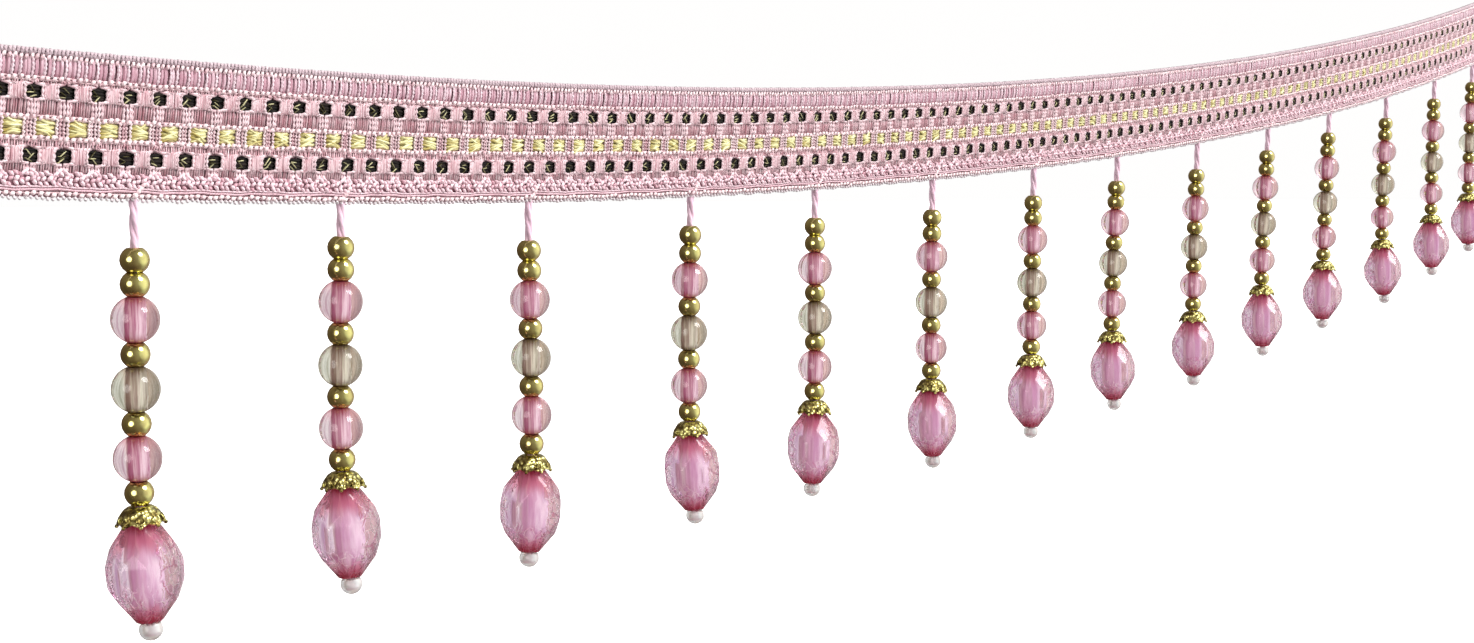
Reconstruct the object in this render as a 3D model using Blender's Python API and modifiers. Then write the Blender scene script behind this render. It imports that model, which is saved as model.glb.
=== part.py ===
"""Beaded tassel fringe: a woven header tape hung in a shallow sweep, with fourteen bead drops below it.

The tape's lower edge is a narrow edging strip, and a pink cord leaves it for each drop. A drop threads,
from the top, eight small beads, a flower cap, a faceted pendant and a stopper bead on its cord.
Metres, +X along the trim, front facing -Y, +Z up, origin at the middle of the tape's top edge.
"""

import math

import bmesh
import bpy
from mathutils import Vector

# The length of trim
TAPE_LENGTH = 0.644
TAPE_SEGMENTS = 29
TRIM_HEIGHT = 0.0233
TAPE_BACK = 0.0008
PART_GAP = 0.0003

# How it hangs: a catenary in height, and a slow turn, bend and flare of its bearing in plan
SAG_PARAMETER = 2.686
LOWEST_ALONG = -0.196
PLAN_TURN = -0.062
PLAN_BEND = 0.74
PLAN_FLARE = 1.48
PATH_STEP = 0.002

# The tape's front, from its top edge: height below the edge and depth in front of its middle plane
TAPE_FRONT = (
    # height, front
    (0.0000, 0.0005),
    (0.0007, 0.0009),
    (0.0013, 0.0009),
    (0.0016, 0.0011),
    (0.0038, 0.0011),
    (0.0043, 0.0013),
    (0.0050, 0.0008),
    (0.0099, 0.0008),
    (0.0105, 0.0012),
    (0.0111, 0.0009),
    (0.0132, 0.0009),
    (0.0138, 0.0012),
    (0.0144, 0.0008),
    (0.0190, 0.0008),
    (0.0195, 0.0012),
    (0.0215, 0.0012),
    (0.0219, 0.0008),
)

# The edging strip below it, and the cords that are sewn into it
EDGING_TOP = 0.0222
EDGING_HALF_DEPTH = 0.00065
CORD_SIDES = 4
CORD_RADIUS = 0.00072
CORD_SEWN_IN = 0.0006

# The drops: how far each cord's root is off its even place, its bare cord and its lean in degrees
DROP_SPACING = 0.045
DROPS = (
    # nudge, bare_cord, lean
    (0.0002, 0.0075, 0.8),
    (-0.0024, 0.0058, 0.6),
    (-0.0010, 0.0075, -0.9),
    (0.0018, 0.0062, 0.7),
    (-0.0003, 0.0065, -1.1),
    (0.0010, 0.0074, 0.5),
    (0.0016, 0.0072, -0.5),
    (-0.0010, 0.0068, -0.3),
    (-0.0007, 0.0078, -0.3),
    (-0.0004, 0.0069, -1.0),
    (-0.0014, 0.0063, -1.8),
    (0.0007, 0.0073, 1.4),
    (0.0015, 0.0067, 1.3),
    (-0.0008, 0.0067, 0.3),
)

# The beads of one drop
BEAD_SIDES = 8
BORE_RADIUS = 0.00115
BEAD_NECK = 0.0015
GOLD = (0.0040, 0.0023, 4)  # height, radius, steps down its side
ROUND = (0.0075, 0.0040, 6)
BEAD_RUN = (GOLD, GOLD, ROUND, GOLD, ROUND, GOLD, ROUND, GOLD)

# The flower cap, whose rim closes over the pendant's shoulder
CAP_HEIGHT = 0.0036
CAP_OUTSIDE = (
    # radius, height below its top
    (0.0016, 0.0),
    (0.0029, 0.0008),
    (0.0041, 0.0031),
    (0.0041, CAP_HEIGHT),
)
CAP_INSIDE = (
    # radius, height below its top
    (0.00375, CAP_HEIGHT),
    (0.0028, 0.0019),
)

# The faceted pendant: its rings of facet corners, from inside the cap down
PENDANT_FACETS = 8
PENDANT_RINGS = (
    # height below the cap's rim, radius, turned by half a facet
    (-0.0013, 0.00235, False),
    (0.0, 0.0034, False),
    (0.0030, 0.0054, True),
    (0.0058, 0.00615, False),
    (0.0092, 0.00605, False),
    (0.0122, 0.0048, True),
    (0.0158, 0.0021, False),
)
PENDANT_TOP = PENDANT_RINGS[0][0]
PENDANT_BOTTOM = PENDANT_RINGS[-1][0]

# The stopper bead under the pendant, with a blind bore for the cord's end
STOPPER_HEIGHT = 0.0028
STOPPER_RADIUS = 0.0020
STOPPER_BORE_DEPTH = 0.0016

# Colour, roughness and metallic value of each material
MATERIALS = {
    "tape": ((0.68, 0.38, 0.47), 0.75, 0.0),
    "cord": ((0.74, 0.42, 0.52), 0.7, 0.0),
    "small_beads": ((0.62, 0.42, 0.22), 0.2, 0.0),
    "gold": ((0.52, 0.42, 0.10), 0.25, 1.0),
    "clear_pink": ((0.80, 0.30, 0.48), 0.08, 0.0),
    "clear": ((0.85, 0.85, 0.85), 0.06, 0.0),
}


def bearing(along):
    """The direction of the tape in plan, in radians from +X."""
    return PLAN_TURN * along + PLAN_BEND * along**2 + PLAN_FLARE * along**3


def centre_line(along):
    """The place of the tape's top edge at a length along it from its middle."""
    steps = max(1, round(abs(along) / PATH_STEP))
    step = along / steps
    place = Vector()
    for i in range(steps):
        middle = (i + 0.5) * step
        rise = math.atan((middle - LOWEST_ALONG) / SAG_PARAMETER)
        turn = bearing(middle)
        flat = step * math.cos(rise)
        place += Vector((flat * math.cos(turn), flat * math.sin(turn), step * math.sin(rise)))
    return place


def hang(point):
    """Where a point of the trim laid out straight, with its top edge on X, goes once the trim hangs."""
    turn = bearing(point.x)
    outward = Vector((-math.sin(turn), math.cos(turn), 0.0))
    return centre_line(point.x) + point.y * outward + Vector((0.0, 0.0, point.z))


def make_material(name):
    colour, roughness, metallic = MATERIALS[name]
    material = bpy.data.materials.new(name)
    material.use_nodes = True
    surface = material.node_tree.nodes["Principled BSDF"]
    surface.inputs["Base Color"].default_value = (*colour, 1.0)
    surface.inputs["Roughness"].default_value = roughness
    surface.inputs["Metallic"].default_value = metallic
    material.diffuse_color = (*colour, 1.0)
    return material


def add_object(name, mesh, collection, material=None, parent=None):
    obj = bpy.data.objects.new(name, mesh)
    collection.objects.link(obj)
    if material and not mesh.materials:
        mesh.materials.append(material)
    obj.parent = parent
    return obj


def mesh_from(bm, name):
    bmesh.ops.recalc_face_normals(bm, faces=bm.faces)
    mesh = bpy.data.meshes.new(name)
    bm.to_mesh(mesh)
    bm.free()
    mesh.shade_smooth()
    mesh.set_sharp_from_angle(angle=math.radians(35))
    return mesh


def hung_bar(name, section):
    """A closed section of (y, z) points drawn out along the whole trim, capped, and hung."""
    bm = bmesh.new()
    points = [bm.verts.new((-TAPE_LENGTH / 2, y, z)) for y, z in section]
    outline = [bm.edges.new((points[i - 1], points[i])) for i in range(len(points))]
    bmesh.ops.spin(
        bm,
        geom=outline,
        axis=(1.0, 0.0, 0.0),
        dvec=(TAPE_LENGTH / TAPE_SEGMENTS, 0.0, 0.0),
        angle=0.0,
        steps=TAPE_SEGMENTS,
    )
    bmesh.ops.holes_fill(bm, edges=bm.edges, sides=0)
    for vert in bm.verts:
        vert.co = hang(vert.co)
    return mesh_from(bm, name)


def profile_mesh(name, profile, closed):
    """A (radius, z) profile as a mesh of edges, for a Screw modifier to turn about Z."""
    points = [(radius, 0.0, z) for radius, z in profile]
    edges = [(i, i + 1) for i in range(len(points) - 1)]
    if closed:
        edges.append((len(points) - 1, 0))
    mesh = bpy.data.meshes.new(name)
    mesh.from_pydata(points, edges, [])
    return mesh


def add_turned(name, mesh, collection, material, parent, z):
    obj = add_object(name, mesh, collection, material, parent)
    obj.location.z = z
    screw = obj.modifiers.new("turn", "SCREW")
    screw.steps = BEAD_SIDES
    screw.render_steps = BEAD_SIDES
    screw.use_merge_vertices = True
    screw.merge_threshold = 0.00001
    screw.use_smooth_shade = True
    return obj


def bead_arc(bead, top):
    """The outer side of a bead from its upper neck down, without the last point, as (radius, z)."""
    height, radius, steps = bead
    widest_turn = math.acos(BEAD_NECK / radius)
    arc = []
    for i in range(steps):
        turn = widest_turn * (1 - 2 * i / steps)
        z = top - height / 2 * (1 - math.sin(turn) / math.sin(widest_turn))
        arc.append((radius * math.cos(turn), z))
    return arc


def bead_run_profile():
    """The threaded beads as one turned profile: down the outside of each bead, and back up the bore."""
    profile = []
    top = 0.0
    for bead in BEAD_RUN:
        profile += bead_arc(bead, top)
        top -= bead[0]
    return profile + [(BEAD_NECK, top), (BORE_RADIUS, top), (BORE_RADIUS, 0.0)]


def cap_profile():
    ceiling = CAP_INSIDE[-1][1]
    outline = CAP_OUTSIDE + CAP_INSIDE + ((BORE_RADIUS, ceiling), (BORE_RADIUS, 0.0))
    return [(radius, -below) for radius, below in outline]


def stopper_profile():
    floor = [(0.0, -STOPPER_BORE_DEPTH), (BORE_RADIUS, -STOPPER_BORE_DEPTH), (BORE_RADIUS, 0.0)]
    side = bead_arc((STOPPER_HEIGHT, STOPPER_RADIUS, 3), 0.0)
    return floor + side + [(BEAD_NECK, -STOPPER_HEIGHT), (0.0, -STOPPER_HEIGHT)]


def add_bore_cutter(collection):
    bm = bmesh.new()
    bmesh.ops.create_cone(
        bm,
        cap_ends=True,
        segments=BEAD_SIDES,
        radius1=BORE_RADIUS,
        radius2=BORE_RADIUS,
        depth=2 * (PENDANT_BOTTOM - PENDANT_TOP),
    )
    return add_object("pendant_bore", mesh_from(bm, "pendant_bore"), collection)


def pendant_mesh(cutter, collection):
    """The hull round the rings of facet corners, bored through for the cord."""
    bm = bmesh.new()
    facet = 2 * math.pi / PENDANT_FACETS
    for below, radius, half_turned in PENDANT_RINGS:
        for i in range(PENDANT_FACETS):
            turn = (i + half_turned / 2) * facet
            bm.verts.new((radius * math.cos(turn), radius * math.sin(turn), -below))
    bmesh.ops.convex_hull(bm, input=bm.verts)
    blank = add_object("pendant_blank", mesh_from(bm, "pendant_blank"), collection)
    bore = blank.modifiers.new("bore", "BOOLEAN")
    bore.operation = "DIFFERENCE"
    bore.solver = "EXACT"
    bore.object = cutter
    graph = bpy.context.evaluated_depsgraph_get()
    mesh = bpy.data.meshes.new_from_object(blank.evaluated_get(graph))
    bpy.data.objects.remove(blank)
    mesh.name = "pendant"
    mesh.shade_flat()
    return mesh


def add_cord(name, root, lean, length, collection):
    """A four-sided cord from inside the edging strip at root down its lean."""
    bm = bmesh.new()
    bmesh.ops.create_cone(
        bm,
        cap_ends=True,
        segments=CORD_SIDES,
        radius1=CORD_RADIUS,
        radius2=CORD_RADIUS,
        depth=length + CORD_SEWN_IN,
    )
    bmesh.ops.translate(bm, verts=bm.verts, vec=(0.0, 0.0, (CORD_SEWN_IN - length) / 2))
    cord = add_object(name, mesh_from(bm, name), collection)
    cord.location = root
    cord.rotation_euler.y = -lean
    return cord


for old in list(bpy.data.objects):
    bpy.data.objects.remove(old)

parts = bpy.data.collections.new("beaded_fringe")
cutters = bpy.data.collections.new("cutters")
cords = bpy.data.collections.new("cords")
bpy.context.scene.collection.children.link(parts)
bpy.context.scene.collection.children.link(cutters)
cutters.children.link(cords)
materials = {name: make_material(name) for name in MATERIALS}

# Header tape: flat at the back, with its bands and chain lines raised on the front
front = [(-depth, -below) for below, depth in TAPE_FRONT]
tape_bottom = front[-1][1]
back = [(TAPE_BACK, tape_bottom), (TAPE_BACK, 0.0)]
add_object("header_tape", hung_bar("header_tape", front + back), parts, materials["tape"])

# Drops: an empty at each cord's root carries the beads, and leans as the drop does
bead_run = profile_mesh("beads", bead_run_profile(), closed=True)
cap = profile_mesh("cap", cap_profile(), closed=True)
stopper = profile_mesh("stopper", stopper_profile(), closed=False)
pendant = pendant_mesh(add_bore_cutter(cutters), cutters)

run_length = sum(bead[0] for bead in BEAD_RUN)
cap_drop = run_length + PART_GAP
rim_drop = cap_drop + CAP_HEIGHT
stopper_drop = rim_drop + PENDANT_BOTTOM + PART_GAP
cord_end_drop = stopper_drop + STOPPER_BORE_DEPTH - PART_GAP

for i, (nudge, bare_cord, lean_degrees) in enumerate(DROPS):
    number = f"{i + 1:02d}"
    lean = math.radians(lean_degrees)
    along = (i - (len(DROPS) - 1) / 2) * DROP_SPACING + nudge
    root = hang(Vector((along, 0.0, -TRIM_HEIGHT)))

    drop = add_object(f"drop_{number}", None, parts)
    drop.empty_display_size = DROP_SPACING / 4
    drop.location = root
    drop.rotation_euler.y = -lean

    below = -bare_cord
    add_cord(f"cord_{number}", root, lean, bare_cord + cord_end_drop, cords)
    add_turned(f"beads_{number}", bead_run, parts, materials["small_beads"], drop, below)
    add_turned(f"cap_{number}", cap, parts, materials["gold"], drop, below - cap_drop)
    hung_pendant = add_object(f"pendant_{number}", pendant, parts, materials["clear_pink"], drop)
    hung_pendant.location.z = below - rim_drop
    add_turned(f"stopper_{number}", stopper, parts, materials["clear"], drop, below - stopper_drop)

# Edging strip, with every cord fused into it at its root
edge_corners = ((-EDGING_HALF_DEPTH, -EDGING_TOP), (-EDGING_HALF_DEPTH, -TRIM_HEIGHT))
edge_section = edge_corners + tuple((-y, z) for y, z in reversed(edge_corners))
edging = add_object("edging_cords", hung_bar("edging_cords", edge_section), parts, materials["cord"])
sewn = edging.modifiers.new("cords", "BOOLEAN")
sewn.operation = "UNION"
sewn.solver = "EXACT"
sewn.operand_type = "COLLECTION"
sewn.collection = cords

for helper in cutters.all_objects:
    helper.hide_render = True
    helper.display_type = "WIRE"
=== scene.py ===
import math

import bmesh
import bpy
import numpy as np
from mathutils import Matrix, Vector


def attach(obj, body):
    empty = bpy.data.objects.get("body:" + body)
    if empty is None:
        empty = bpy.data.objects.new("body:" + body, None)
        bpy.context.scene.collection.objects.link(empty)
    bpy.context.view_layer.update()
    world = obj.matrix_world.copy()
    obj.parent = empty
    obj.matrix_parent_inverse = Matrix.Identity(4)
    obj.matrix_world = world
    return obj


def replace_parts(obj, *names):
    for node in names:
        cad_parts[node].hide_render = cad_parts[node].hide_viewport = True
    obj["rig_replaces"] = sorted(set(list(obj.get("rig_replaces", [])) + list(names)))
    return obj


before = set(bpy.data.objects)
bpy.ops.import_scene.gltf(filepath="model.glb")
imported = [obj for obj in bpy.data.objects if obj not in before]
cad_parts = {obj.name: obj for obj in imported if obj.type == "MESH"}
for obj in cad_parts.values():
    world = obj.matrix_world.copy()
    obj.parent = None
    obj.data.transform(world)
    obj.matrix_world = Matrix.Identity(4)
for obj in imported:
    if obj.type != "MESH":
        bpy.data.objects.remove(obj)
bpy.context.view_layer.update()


# The studio. The trim hangs in a white seamless room, with a pale floor well below it. One broad lamp
# stands high in front. Polished beads mirror a small soft box behind the camera and a broad dim one
# at its right. Clear beads show pale walls through them, in front and behind.
CAMERA_PLACE = (-0.46287, -0.29359, -0.0230)
CAMERA_TURN = math.radians(-47.80)
CAMERA_DIP = math.radians(4.61)
CAMERA_ROLL = math.radians(-0.29)
CAMERA_LENS = 47.85
LAMP_SIDE = (0.36, -0.62, 0.70)
RIGHT_SIDE = (0.67, -0.74, 0.0)
NEAR_SIDE = (-0.74, -0.67, 0.05)
# how bright the room is everywhere: as soft light, in mirrors, and seen through plastic
DIMMEST = (0.24, 0.12, 0.36)
GLOWS = (
    # towards, where it starts and where it is full, and what it adds to each of the three
    (LAMP_SIDE, 0.35, 0.95, (1.5, 0, 0.7)),
    ((0.74, 0.67, -0.05), 0.20, 0.70, (0.8, 0, 0)),
    (RIGHT_SIDE, -0.1, 0.8, (0.4, 0.22, 0)),
    ((0, 0, 1), -0.5, 1.0, (0.4, 0.12, 0)),
    ((0, 1, 0), 0.1, 0.9, (0.5, 0, 0)),
    ((-0.95, -0.28, 0.15), 0.925, 0.965, (0, 4.4, 0)),
    ((0.66, -0.74, 0.12), 0.62, 0.96, (0, 0.70, 0)),
    ((1.0, -0.05, 0.0), 0.3, 0.9, (0, 0.40, 0)),
    (NEAR_SIDE, 0.3, 0.95, (0, 0.10, 0)),
    (NEAR_SIDE, 0.05, 0.75, (0, 0, 0.62)),
    (RIGHT_SIDE, 0.35, 0.95, (0, 0, 0.05)),
    ((-0.95, -0.40, 0.0), 0.40, 0.90, (0, 0, 0.50)),
    ((0.93, 0.34, -0.05), 0.15, 0.75, (0, 0, 0.46)),
    ((0, 0, -1), 0.15, 0.85, (0, 0, 0.35)),
)
FLOOR_DROP = 0.62
FLOOR_RADIUS = 30.0


class Shade:
    """One socket of a finish that is being built. Sums add Math nodes, and node() adds any other."""

    def __init__(self, tree, socket=None):
        self.tree = tree
        self.socket = socket

    def node(self, kind, sockets=None, out=0, **settings):
        made = self.tree.nodes.new(kind)
        for name, value in settings.items():
            setattr(made, name, value)
        for name, value in (sockets or {}).items():
            if isinstance(value, Shade):
                self.tree.links.new(value.socket, made.inputs[name])
            else:
                made.inputs[name].default_value = value
        return Shade(self.tree, made.outputs[out] if len(made.outputs) else None)

    def noise(self, place, scale, detail=2.0, out=0):
        sockets = {"Vector": place, "Scale": scale, "Detail": detail}
        return self.node("ShaderNodeTexNoise", sockets, out)

    def bump(self, height, strength, distance):
        sockets = {"Height": height, "Strength": strength, "Distance": distance}
        return self.node("ShaderNodeBump", sockets)

    def wrapping(self, layer):
        """The place around (u) and along (v) in a UV layer."""
        uv = self.node("ShaderNodeUVMap", uv_map=layer)
        return [self.node("ShaderNodeSeparateXYZ", {0: uv}, axis) for axis in (0, 1)]

    def sum(self, operation, first, second=0.0):
        return self.node("ShaderNodeMath", {0: first, 1: second}, operation=operation)

    def __add__(self, other):
        return self.sum("ADD", self, other)

    def __radd__(self, other):
        return self.sum("ADD", other, self)

    def __sub__(self, other):
        return self.sum("SUBTRACT", self, other)

    def __rsub__(self, other):
        return self.sum("SUBTRACT", other, self)

    def __mul__(self, other):
        return self.sum("MULTIPLY", self, other)

    def __rmul__(self, other):
        return self.sum("MULTIPLY", other, self)

    def between(self, low, high):
        """0 below low and 1 above high, with a soft step between them."""
        sockets = {0: self, 1: low, 2: high}
        return self.node("ShaderNodeMapRange", sockets, interpolation_type="SMOOTHSTEP")

    def blend(self, share, first, second):
        """first where share is 0, and second where it is 1."""
        colours = [c if isinstance(c, Shade) else (*c, 1.0) for c in (first, second)]
        sockets = {0: share, 6: colours[0], 7: colours[1]}
        return self.node("ShaderNodeMix", sockets, out=2, data_type="RGBA")

    def facing(self, direction):
        """How far this vector points in a direction, from -1 to 1."""
        sockets = {0: self, 1: tuple(direction)}
        return self.node("ShaderNodeVectorMath", sockets, out=1, operation="DOT_PRODUCT")


def new_finish(name, **constants):
    """A material with one Principled shader, a Shade for its pattern, and the place on the piece."""
    material = bpy.data.materials.new(name)
    material.use_nodes = True
    surface = material.node_tree.nodes["Principled BSDF"]
    for socket, value in constants.items():
        surface.inputs[socket.replace("_", " ")].default_value = value
    shade = Shade(material.node_tree)
    return material, shade, shade.node("ShaderNodeTexCoord", out="Object")


def show(name, data):
    """A new object in the scene with this mesh, lamp or camera."""
    made = bpy.data.objects.new(name, data)
    bpy.context.collection.objects.link(made)
    return made


camera = show("camera", bpy.data.cameras.new("camera"))
camera.data.lens = CAMERA_LENS
camera.data.clip_start = 0.01
camera.matrix_world = (
    Matrix.Translation(CAMERA_PLACE)
    @ Matrix.Rotation(CAMERA_TURN, 4, "Z")
    @ Matrix.Rotation(math.pi / 2 - CAMERA_DIP, 4, "X")
    @ Matrix.Rotation(CAMERA_ROLL, 4, "Z")
)
bpy.context.scene.camera = camera
bpy.context.scene.view_settings.view_transform = "Standard"

room = bpy.data.worlds.new("room")
room.use_nodes = True
room.node_tree.nodes.clear()
bpy.context.scene.world = room
air = Shade(room.node_tree)
looking = air.node("ShaderNodeTexCoord")
levels = DIMMEST
for side, start, full, shares in GLOWS:
    glow = looking.facing(Vector(side).normalized()).between(start, full)
    levels = [level + share * glow if share else level for level, share in zip(levels, shares)]
soft_light, mirrored, seen_through = levels
strength = soft_light
for kind, level in (("Glossy", mirrored), ("Transmission", seen_through), ("Camera", 1.0)):
    ray = air.node("ShaderNodeLightPath", out=f"Is {kind} Ray")
    strength = strength + ray * (level - strength)
dim_corner = air.blend(mirrored.between(0.10, 0.60), (1.0, 0.74, 0.62), (1.0, 0.99, 0.97))
tint = air.blend(air.node("ShaderNodeLightPath", out="Is Glossy Ray"), (1.0, 0.995, 0.99), dim_corner)
lit = air.node("ShaderNodeBackground", {"Color": tint, "Strength": strength})
air.node("ShaderNodeOutputWorld", {"Surface": lit})

lamp = show("lamp", bpy.data.lights.new("lamp", "SUN"))
lamp.data.energy = 2.3
lamp.data.angle = math.radians(28)
lamp.rotation_mode = "QUATERNION"
lamp.rotation_quaternion = Vector(LAMP_SIDE).to_track_quat("Z", "Y")

bpy.ops.mesh.primitive_circle_add(vertices=64, radius=FLOOR_RADIUS, fill_type="NGON")
floor = bpy.context.active_object
floor.location.z = -FLOOR_DROP
floor.name = "floor"
floor.visible_diffuse = False
floor.visible_glossy = False
floor.visible_transmission = False
pale = (0.86, 0.86, 0.86, 1.0)
white = (1.0, 1.0, 1.0, 1.0)
paint = {"Base_Color": pale, "Roughness": 0.9, "Emission_Color": white, "Emission_Strength": 0.35}
floor.data.materials.append(new_finish("pale_floor", **paint)[0])


# The header's ground. A flat warp-knitted tape of deep rose cotton, 23.3 mm wide, that the stitches
# and laid-in yarns below are part of. Its rose is painted deeper than the threads, as shade where it
# shows between them. It is held up by its top edge, and hangs in a shallow sweep.
TAPE_LENGTH = 644.0
TAPE_WIDTH = 23.3
SAG_PARAMETER = 2.686
LOWEST_ALONG = -0.196
PLAN_TURN = -0.062
PLAN_BEND = 0.74
PLAN_FLARE = 1.48
WEFT_LEAN = 0.10
GROUND_OUTLINE = (
    # depth in front of the middle, height below the top edge, in mm
    (0.05, 0.30), (0.35, 0.55), (0.42, 1.20), (0.45, 4.30), (0.20, 5.20),
    (0.12, 6.80), (0.20, 8.20), (0.30, 9.50), (0.45, 10.50), (0.25, 11.20),
    (0.25, 13.00), (0.45, 13.70), (0.20, 14.80), (0.12, 16.80), (0.20, 18.40),
    (0.50, 19.20), (0.55, 21.30), (0.40, 22.10), (0.30, 22.60), (0.00, 22.90),
    (-0.45, 22.80), (-0.55, 22.00), (-0.55, 11.60), (-0.55, 1.20), (-0.40, 0.50),
)
GROUND_STEPS = 322
STRIDE = 0.0005
FARTHEST = 0.33


def bearing(along):
    """The way the trim runs in plan, in radians, at each length along it."""
    return PLAN_TURN * along + PLAN_BEND * along**2 + PLAN_FLARE * along**3


# How the tape hangs: the place of its top edge for each length along it.
marks = np.arange(-FARTHEST, FARTHEST + STRIDE / 2, STRIDE)
middles = (marks[1:] + marks[:-1]) / 2
rises = np.arctan((middles - LOWEST_ALONG) / SAG_PARAMETER)
turns = bearing(middles)
strides = [np.cos(rises) * np.cos(turns), np.cos(rises) * np.sin(turns), np.sin(rises)]
strides = STRIDE * np.stack(strides)
edge_line = np.concatenate([np.zeros((3, 1)), np.cumsum(strides, axis=1)], axis=1)
edge_line -= edge_line[:, [len(marks) // 2]]


def hang(flat):
    """Where points of the trim laid out flat go once it hangs: metres, with the top edge on X."""
    along = flat[..., 0]
    turn = bearing(along)
    edge = np.stack([np.interp(along, marks, line) for line in edge_line], axis=-1)
    outward = np.stack([-np.sin(turn), np.cos(turn), np.zeros_like(turn)], axis=-1)
    down = np.stack([np.zeros_like(turn), np.zeros_like(turn), flat[..., 2]], axis=-1)
    return edge + flat[..., 1, None] * outward + down


def feed(material, **patterns):
    """Links patterns to a finish's Base Color, Roughness or Normal."""
    surface = material.node_tree.nodes["Principled BSDF"]
    for socket, shade in patterns.items():
        material.node_tree.links.new(shade.socket, surface.inputs[socket.replace("_", " ")])
    return material


def choose(*pieces):
    """Selects these pieces only. The last one is active."""
    bpy.ops.object.select_all(action="DESELECT")
    for piece in pieces:
        piece.select_set(True)
    bpy.context.view_layer.objects.active = pieces[-1]


def open_up():
    """Goes into edit mode, with all the points selected."""
    bpy.ops.object.mode_set(mode="EDIT")
    bpy.ops.mesh.select_mode(type="VERT")
    bpy.ops.mesh.select_all(action="SELECT")


def close_up():
    """Turns all faces outward in edit mode, and leaves it."""
    bpy.ops.mesh.select_mode(type="VERT")
    bpy.ops.mesh.select_all(action="SELECT")
    bpy.ops.mesh.normals_make_consistent(inside=False)
    bpy.ops.object.mode_set(mode="OBJECT")


def smooth(degrees):
    """Shades the active piece smooth, but for edges that are sharper than an angle."""
    bpy.ops.object.shade_smooth_by_angle(angle=math.radians(degrees))


def fasten(piece, node):
    """A piece hangs with the whole trim. It stands for a CAD node."""
    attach(piece, "root")
    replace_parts(piece, node)


def knit_ground_finish():
    material, shade, place = new_finish("knitted_rose_ground", Roughness=0.85)
    knit = shade.noise(place, 1400.0)
    patches = shade.noise(place, 160.0, 1.0)
    share = (knit * 0.7 + patches * 0.5).between(0.35, 0.85)
    # deep rose, darker than the threads: partly its own colour, partly painted shade between them
    colour = shade.blend(share, (0.34, 0.15, 0.19), (0.54, 0.31, 0.36))
    return feed(material, Base_Color=colour, Normal=shade.bump(knit, 0.8, 0.0002))


stations = np.linspace(-TAPE_LENGTH / 2, TAPE_LENGTH / 2, GROUND_STEPS + 1)
depths, heights = np.array(GROUND_OUTLINE).T
flat = np.stack(np.broadcast_arrays(stations[:, None], -depths, -heights), axis=-1)
points = hang(flat / 1000).reshape(-1, 3)
index = np.arange(len(points)).reshape(GROUND_STEPS + 1, -1)
after = np.roll(index, -1, axis=1)
walls = np.stack([index[:-1], index[1:], after[1:], after[:-1]], axis=-1).reshape(-1, 4)
ends = [index[0].tolist(), index[-1, ::-1].tolist()]
ground_mesh = bpy.data.meshes.new("header_ground")
ground_mesh.from_pydata(points.tolist(), [], walls.tolist() + ends)
header_ground = show("header_ground", ground_mesh)
choose(header_ground)
open_up()
close_up()
smooth(50)
ground_mesh.materials.append(knit_ground_finish())
fasten(header_ground, "header_tape")


# The top edge. Where each weft turns back it makes a small slanted loop over the edge, and a row of
# plump locking stitches holds the turns down. Twisted pink cotton; the small loops are greyed with
# painted shade where they turn over the edge.
PITCH = 5.625
STITCH = PITCH / 8
seeded = np.random.RandomState(41)


def unwrapped(u, v):
    """The UVs of a grid that goes round (u) and along (v): those of its points, and of its faces."""
    grid = np.stack(np.broadcast_arrays(u, v[..., None]), axis=-1)
    low, high = grid[..., :-1, :, :], grid[..., 1:, :, :]
    corners = [low[..., :-1, :], low[..., 1:, :], high[..., 1:, :], high[..., :-1, :]]
    return grid, np.stack(corners, axis=-2)


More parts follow.
